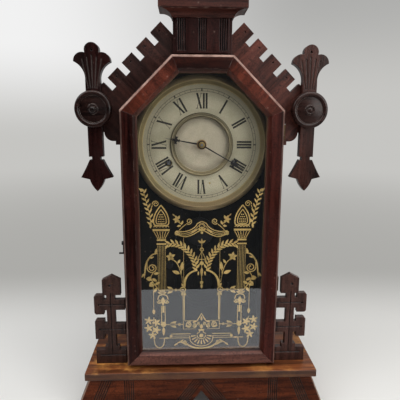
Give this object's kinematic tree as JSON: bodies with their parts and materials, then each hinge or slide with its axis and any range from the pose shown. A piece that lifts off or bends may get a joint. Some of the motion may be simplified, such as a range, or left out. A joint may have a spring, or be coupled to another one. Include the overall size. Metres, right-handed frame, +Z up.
{
  "type": "shelf clock",
  "caption": "Walnut shelf clock with an octagon-topped glazed door, round dial, toothed crest wings, hanging drops, pierced brackets, striking movement, pendulum and coil gong.",
  "frame": {"origin": "on the table under the middle of the clock", "axes": "+X to the right seen from the front, +Y to the back, so the dial faces -Y, +Z up"},
  "size_m": [0.32, 0.115, 0.503],
  "materials": {
    "walnut": "dark aged varnish",
    "pine": "stained softwood",
    "glass": "old window glass",
    "brass": "tarnished",
    "steel": "dull",
    "blackened_steel": "blackened",
    "dial_zinc": "cream paint on sheet zinc",
    "paper": "aged printed paper",
    "cast_iron": "bronzed"
  },
  "bodies": {
    "case": {"base_front": "walnut", "base_sides": "walnut", "shelf_board": "walnut", "case_right_side": "walnut", "case_left_side": "walnut", "case_slopes": "walnut", "case_top": "walnut", "back_board": "pine", "hinge_case_leaves": "brass", "hinge_pins": "steel", "latch_screw": "blackened_steel", "right_wing": "walnut", "left_wing": "walnut", "right_drop": "walnut", "left_drop": "walnut", "rosettes": "walnut", "neck_block": "walnut", "cove_moulding": "walnut", "crown_cap": "walnut", "right_bracket": "walnut", "left_bracket": "walnut", "dial_pan": "dial_zinc", "dial_paper": "paper", "dial_bezel": "brass", "dial_inner_ring": "brass", "dial_blocks": "pine", "front_plate": "brass", "back_plate": "brass", "plate_pillars": "steel", "pillar_nuts": "steel", "great_wheels": "brass", "mainsprings": "steel", "centre_arbor": "steel", "third_wheel": "brass", "escape_wheel": "brass", "suspension_cock": "brass", "gong_block": "cast_iron", "gong_coil": "steel"},
    "door": {"door_bottom_rail": "walnut", "door_top_rail": "walnut", "door_right_stile": "walnut", "door_left_stile": "walnut", "door_diagonals": "walnut", "door_glass": "glass", "glass_beads": "pine", "hinge_door_leaves": "brass", "catch_pin": "blackened_steel"},
    "latch": {"latch_hook": "blackened_steel"},
    "minute_hand": {"minute_hand": "blackened_steel", "cannon_pinion": "brass", "hand_nut": "brass"},
    "hour_hand": {"hour_hand": "blackened_steel", "hour_wheel": "brass"},
    "minute_wheel": {"minute_wheel": "brass"},
    "time_arbor": {"time_winding_arbor": "steel"},
    "strike_arbor": {"strike_winding_arbor": "steel"},
    "pendulum": {"pendulum_rod": "steel", "pendulum_bob": "brass"},
    "verge": {"verge": "steel"},
    "hammer": {"hammer": "steel"}
  },
  "joints": [
    {"name": "door_hinge", "type": "hinge", "parent": "case", "child": "door", "pos_m": [0.09415, -0.039, 0.25], "axis": [0, 0, 1], "range_deg": [0, 90]},
    {"name": "latch_turn", "type": "hinge", "parent": "case", "child": "latch", "pos_m": [-0.0955, -0.026, 0.218], "axis": [-1, 0, 0], "range_deg": [0, 90]},
    {"name": "minute_turn", "type": "hinge", "parent": "case", "child": "minute_hand", "pos_m": [0, -0.019, 0.338], "axis": [0, 1, 0], "continuous": true},
    {"name": "hour_turn", "type": "hinge", "parent": "case", "child": "hour_hand", "pos_m": [0, -0.019, 0.338], "axis": [0, 1, 0], "continuous": true},
    {"name": "minute_wheel_turn", "type": "hinge", "parent": "case", "child": "minute_wheel", "pos_m": [-0.0168, -0.011, 0.338], "axis": [0, 1, 0], "continuous": true},
    {"name": "time_winding", "type": "hinge", "parent": "case", "child": "time_arbor", "pos_m": [0.0395, 0.001, 0.316], "axis": [0, 1, 0], "continuous": true},
    {"name": "strike_winding", "type": "hinge", "parent": "case", "child": "strike_arbor", "pos_m": [-0.0395, 0.001, 0.316], "axis": [0, 1, 0], "continuous": true},
    {"name": "pendulum_swing", "type": "hinge", "parent": "case", "child": "pendulum", "pos_m": [0, 0.0353, 0.38], "axis": [0, 1, 0], "range_deg": [-4, 4]},
    {"name": "verge_rock", "type": "hinge", "parent": "case", "child": "verge", "pos_m": [0, 0.011, 0.38], "axis": [0, 1, 0], "range_deg": [-4, 4]},
    {"name": "hammer_lift", "type": "hinge", "parent": "case", "child": "hammer", "pos_m": [-0.012, 0.011, 0.298], "axis": [0, 1, 0], "range_deg": [0, 12], "stiffness_Nm_per_rad": 0.02}
  ],
  "couplings": [
    {"joint": "hour_turn", "follows": "minute_turn", "ratio": 0.083333},
    {"joint": "minute_wheel_turn", "follows": "minute_turn", "ratio": -0.33333},
    {"joint": "verge_rock", "follows": "pendulum_swing", "ratio": 1}
  ]
}
